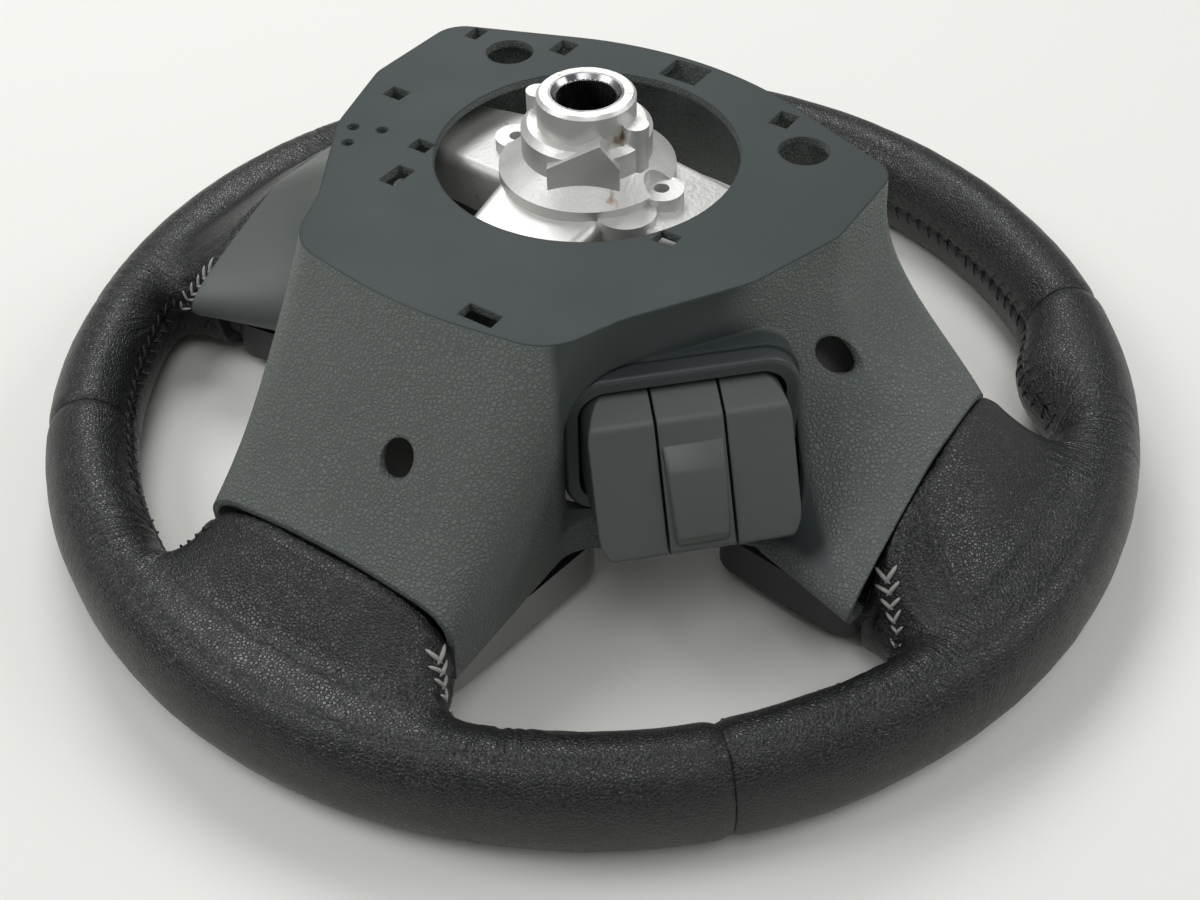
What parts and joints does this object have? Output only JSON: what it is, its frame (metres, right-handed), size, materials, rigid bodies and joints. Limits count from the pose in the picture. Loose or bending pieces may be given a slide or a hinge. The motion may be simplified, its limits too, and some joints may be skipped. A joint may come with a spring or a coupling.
{
  "type": "car steering wheel",
  "caption": "Leather-wrapped car steering wheel seen from behind: cast hub with a shaft bore, spokes under a moulded rear cover, and a module of finger keys beside the bottom spoke.",
  "frame": {"origin": "on the steering axis, in the plane that the rim rests on when the wheel lies on its face", "axes": "+Z along the steering axis towards the column, +Y to the top of the wheel, +X to the right as seen from behind"},
  "size_m": [0.3758, 0.3758, 0.1323],
  "materials": {
    "cast_alloy": "as cast, satin",
    "bush_steel": "turned, polished chamfer",
    "foam": "moulded foam",
    "cover_plastic": "moulded leather grain on the walls, fine matt on the flat face",
    "trim_gloss": "gloss black",
    "trim_satin": "satin black",
    "screw_steel": "zinc plated",
    "frame_plastic": "fine matt",
    "housing_plastic": "plain moulded",
    "mat_rubber": "moulded",
    "board": "circuit board",
    "wire_steel": "drawn spring wire",
    "key_plastic": "satin soft-touch paint",
    "rim_leather": "fine-grained black leather"
  },
  "bodies": {
    "wheel": {"armature": "cast_alloy", "rim_core": "cast_alloy", "hub_insert": "bush_steel", "rim_foam": "foam", "rear_cover": "cover_plastic", "right_spoke_trim": "trim_satin", "left_spoke_trim": "trim_satin", "bottom_spoke_trim": "trim_gloss", "cover_screws": "screw_steel", "trim_screws": "screw_steel", "switch_frame": "frame_plastic", "switch_housing": "housing_plastic", "key_pivot_pin": "bush_steel", "contact_mat": "mat_rubber", "switch_board": "board", "module_screws": "screw_steel", "latch_wire_bottom": "wire_steel", "latch_wire_right": "wire_steel", "latch_wire_left": "wire_steel", "leather_top": "rim_leather", "leather_right_grip": "rim_leather", "leather_bottom": "rim_leather", "leather_left_grip": "rim_leather"},
    "key_left": {"key_left": "key_plastic"},
    "key_middle": {"key_middle": "key_plastic"},
    "key_right": {"key_right": "key_plastic"}
  },
  "joints": [
    {"name": "key_left_press", "type": "hinge", "parent": "wheel", "child": "key_left", "pos_m": [0.06293, -0.04525, 0.0821], "axis": [0.7071, 0.7071, 0], "range_deg": [0, 4], "stiffness_Nm_per_rad": 0.1, "springref_deg": -10},
    {"name": "key_middle_press", "type": "hinge", "parent": "wheel", "child": "key_middle", "pos_m": [0.06293, -0.04525, 0.0821], "axis": [0.7071, 0.7071, 0], "range_deg": [0, 4], "stiffness_Nm_per_rad": 0.1, "springref_deg": -10},
    {"name": "key_right_press", "type": "hinge", "parent": "wheel", "child": "key_right", "pos_m": [0.06293, -0.04525, 0.0821], "axis": [0.7071, 0.7071, 0], "range_deg": [0, 4], "stiffness_Nm_per_rad": 0.1, "springref_deg": -10}
  ]
}
